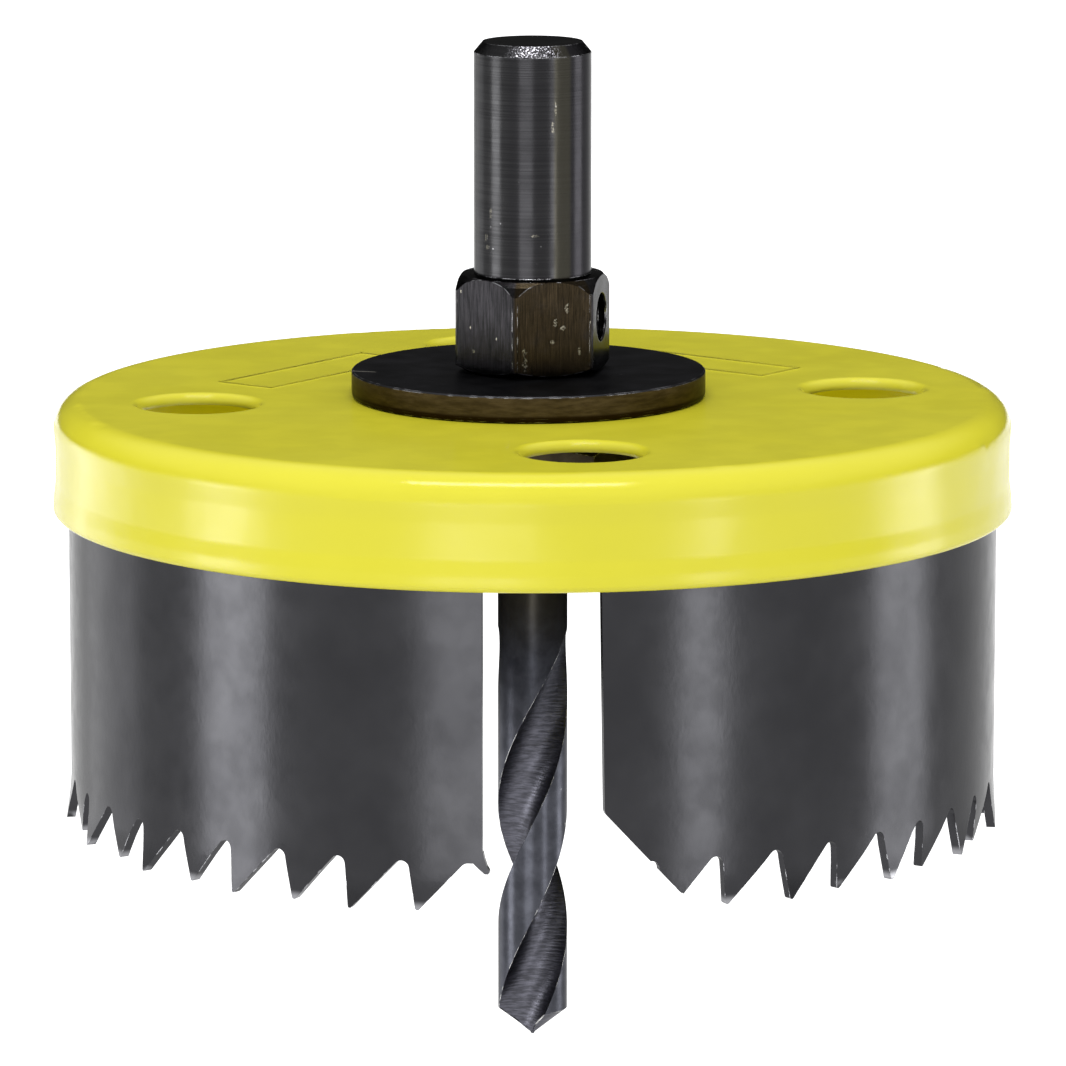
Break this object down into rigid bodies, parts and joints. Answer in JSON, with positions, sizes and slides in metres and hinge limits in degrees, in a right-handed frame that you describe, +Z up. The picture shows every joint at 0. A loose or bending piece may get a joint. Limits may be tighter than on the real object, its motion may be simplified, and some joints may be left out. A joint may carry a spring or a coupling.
{
  "type": "hole saw",
  "caption": "Hole saw with a round yellow cap, two toothed half-ring blades, a central pilot drill and a round shank with a hexagonal collar.",
  "frame": {"origin": "on the saw's axis at the root of the round shank, where it leaves the collar", "axes": "+Z up the shank, away from the teeth; -Y faces the front gap between the blades"},
  "size_m": [0.0818, 0.0818, 0.0864],
  "materials": {
    "black_steel": "black-oxide turned steel",
    "washer_black": "black-oxide stamped steel, brown cut edge",
    "drill_black": "black-oxide ground high-speed steel",
    "cap_yellow": "glossy lemon-yellow baked enamel",
    "blade_dark": "smooth dark-grey satin coating, bright worn tips",
    "nut_dark": "dark oiled steel"
  },
  "bodies": {
    "root": {"arbor": "black_steel", "grub_screw": "black_steel", "pilot_drill": "drill_black", "washer": "washer_black", "cap": "cap_yellow", "clamp_ring": "cap_yellow", "blade_right": "blade_dark", "blade_left": "blade_dark", "lock_washer": "nut_dark", "nut": "nut_dark"}
  },
  "joints": []
}
